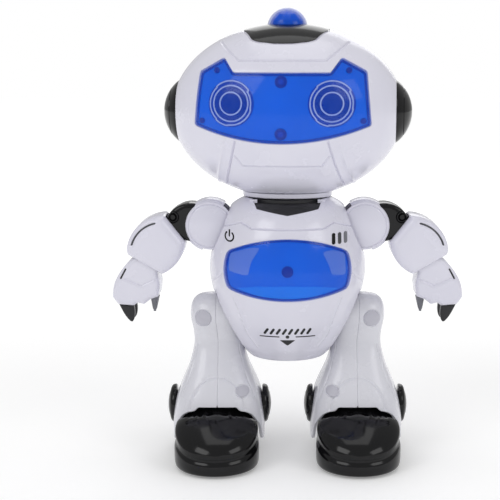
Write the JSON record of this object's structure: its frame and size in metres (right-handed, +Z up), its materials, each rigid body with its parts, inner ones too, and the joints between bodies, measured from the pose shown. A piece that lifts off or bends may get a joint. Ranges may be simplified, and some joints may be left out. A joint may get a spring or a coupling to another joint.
{
  "type": "walking toy robot",
  "caption": "Walking humanoid toy robot with a wide oval head, blue visor and chest window, hinged arms with claws, swinging legs and wheeled shoes.",
  "frame": {"origin": "on the floor, at the centre of the whole robot's outline seen from above", "axes": "+Z up, -Y the way the robot faces, +X towards the robot's own left"},
  "size_m": [0.2112, 0.1116, 0.2686],
  "materials": {
    "white_shell": "gloss white ABS",
    "blue_window": "clear blue polycarbonate, gloss",
    "black_gloss": "gloss black ABS",
    "black_plastic": "satin black",
    "grey_plastic": "satin mid grey",
    "tyre_rubber": "matt black rubber",
    "circuit_board": "green solder mask, satin",
    "screw_steel": "zinc plated steel",
    "speaker_black": "matt black cone and basket",
    "cell_wrap": "plain dark wrap"
  },
  "bodies": {
    "torso": {"torso_front_shell": "white_shell", "torso_back_shell": "white_shell", "chest_lens": "blue_window", "chest_light_board": "circuit_board", "neck_collar": "black_plastic", "pelvis_frame": "black_plastic", "hip_pin": "screw_steel", "battery_box": "black_plastic", "battery_cells": "cell_wrap", "battery_cover": "white_shell", "main_circuit_board": "circuit_board", "speaker": "speaker_black", "torso_screws": "screw_steel"},
    "power_switch": {"power_switch_knob": "black_plastic"},
    "head": {"head_front_shell": "white_shell", "head_rear_shell": "white_shell", "visor": "blue_window", "crown_cap": "black_gloss", "dome_lamp": "blue_window", "eye_light_board": "circuit_board", "neck_ring": "white_shell", "head_screws": "screw_steel", "ear_cap_left": "black_gloss", "ear_cap_right": "black_gloss"},
    "shoulder_left": {"shoulder_yoke_left": "white_shell"},
    "upper_arm_left": {"shoulder_block_left": "black_gloss", "upper_arm_front_shell_left": "white_shell", "upper_arm_rear_shell_left": "white_shell"},
    "forearm_left": {"forearm_front_shell_left": "white_shell", "forearm_rear_shell_left": "white_shell", "claw_fingers_left": "black_plastic", "thumb_left": "grey_plastic"},
    "leg_left": {"leg_outer_shell_left": "white_shell", "leg_inner_shell_left": "white_shell", "ankle_caps_left": "black_plastic"},
    "foot_left": {"shoe_upper_left": "black_gloss", "shoe_sole_left": "black_plastic", "toe_glide_left": "grey_plastic", "foot_motor_left": "screw_steel"},
    "wheels_left": {"drive_wheels_left": "grey_plastic", "drive_tyres_left": "tyre_rubber"},
    "pinion_left": {"motor_pinion_left": "grey_plastic"},
    "shoulder_right": {"shoulder_yoke_right": "white_shell"},
    "upper_arm_right": {"shoulder_block_right": "black_gloss", "upper_arm_front_shell_right": "white_shell", "upper_arm_rear_shell_right": "white_shell"},
    "forearm_right": {"forearm_front_shell_right": "white_shell", "forearm_rear_shell_right": "white_shell", "claw_fingers_right": "black_plastic", "thumb_right": "grey_plastic"},
    "leg_right": {"leg_outer_shell_right": "white_shell", "leg_inner_shell_right": "white_shell", "ankle_caps_right": "black_plastic"},
    "foot_right": {"shoe_upper_right": "black_gloss", "shoe_sole_right": "black_plastic", "toe_glide_right": "grey_plastic", "foot_motor_right": "screw_steel"},
    "wheels_right": {"drive_wheels_right": "grey_plastic", "drive_tyres_right": "tyre_rubber"},
    "pinion_right": {"motor_pinion_right": "grey_plastic"}
  },
  "joints": [
    {"name": "head_turn", "type": "hinge", "parent": "torso", "child": "head", "pos_m": [0, 0.0042, 0.1575], "axis": [0, 0, 1], "range_deg": [-40, 40]},
    {"name": "power_switch_slide", "type": "slide", "parent": "torso", "child": "power_switch", "axis": [1, 0, 0], "range_m": [0, 0.003]},
    {"name": "shoulder_swing_left", "type": "hinge", "parent": "torso", "child": "shoulder_left", "pos_m": [0.0464, 0.0042, 0.1403], "axis": [-1, 0, 0], "range_deg": [-60, 150]},
    {"name": "arm_lift_left", "type": "hinge", "parent": "shoulder_left", "child": "upper_arm_left", "pos_m": [0.0464, 0.0042, 0.1403], "axis": [0, -1, 0], "range_deg": [-3, 30]},
    {"name": "elbow_left", "type": "hinge", "parent": "upper_arm_left", "child": "forearm_left", "pos_m": [0.0823, 0.0042, 0.1219], "axis": [0, -1, 0], "range_deg": [-3, 6]},
    {"name": "hip_swing_left", "type": "hinge", "parent": "torso", "child": "leg_left", "pos_m": [0.042, 0.0042, 0.085], "axis": [-1, 0, 0], "range_deg": [-8, 8]},
    {"name": "ankle_left", "type": "hinge", "parent": "leg_left", "child": "foot_left", "pos_m": [0.042, 0.0042, 0.028], "axis": [-1, 0, 0], "range_deg": [-6, 6]},
    {"name": "wheel_spin_left", "type": "hinge", "parent": "foot_left", "child": "wheels_left", "pos_m": [0.042, 0.0202, 0.009], "axis": [-1, 0, 0], "continuous": true},
    {"name": "pinion_spin_left", "type": "hinge", "parent": "foot_left", "child": "pinion_left", "pos_m": [0.0367, 0.01812, 0.02082], "axis": [-1, 0, 0], "continuous": true},
    {"name": "shoulder_swing_right", "type": "hinge", "parent": "torso", "child": "shoulder_right", "pos_m": [-0.0464, 0.0042, 0.1403], "axis": [-1, 0, 0], "range_deg": [-60, 150]},
    {"name": "arm_lift_right", "type": "hinge", "parent": "shoulder_right", "child": "upper_arm_right", "pos_m": [-0.0464, 0.0042, 0.1403], "axis": [0, 1, 0], "range_deg": [-3, 30]},
    {"name": "elbow_right", "type": "hinge", "parent": "upper_arm_right", "child": "forearm_right", "pos_m": [-0.0823, 0.0042, 0.1219], "axis": [0, 1, 0], "range_deg": [-3, 6]},
    {"name": "hip_swing_right", "type": "hinge", "parent": "torso", "child": "leg_right", "pos_m": [-0.042, 0.0042, 0.085], "axis": [-1, 0, 0], "range_deg": [-8, 8]},
    {"name": "ankle_right", "type": "hinge", "parent": "leg_right", "child": "foot_right", "pos_m": [-0.042, 0.0042, 0.028], "axis": [-1, 0, 0], "range_deg": [-6, 6]},
    {"name": "wheel_spin_right", "type": "hinge", "parent": "foot_right", "child": "wheels_right", "pos_m": [-0.042, 0.0202, 0.009], "axis": [-1, 0, 0], "continuous": true},
    {"name": "pinion_spin_right", "type": "hinge", "parent": "foot_right", "child": "pinion_right", "pos_m": [-0.0367, 0.01812, 0.02082], "axis": [-1, 0, 0], "continuous": true}
  ],
  "couplings": [
    {"joint": "pinion_spin_left", "follows": "wheel_spin_left", "ratio": -2},
    {"joint": "pinion_spin_right", "follows": "wheel_spin_right", "ratio": -2}
  ]
}
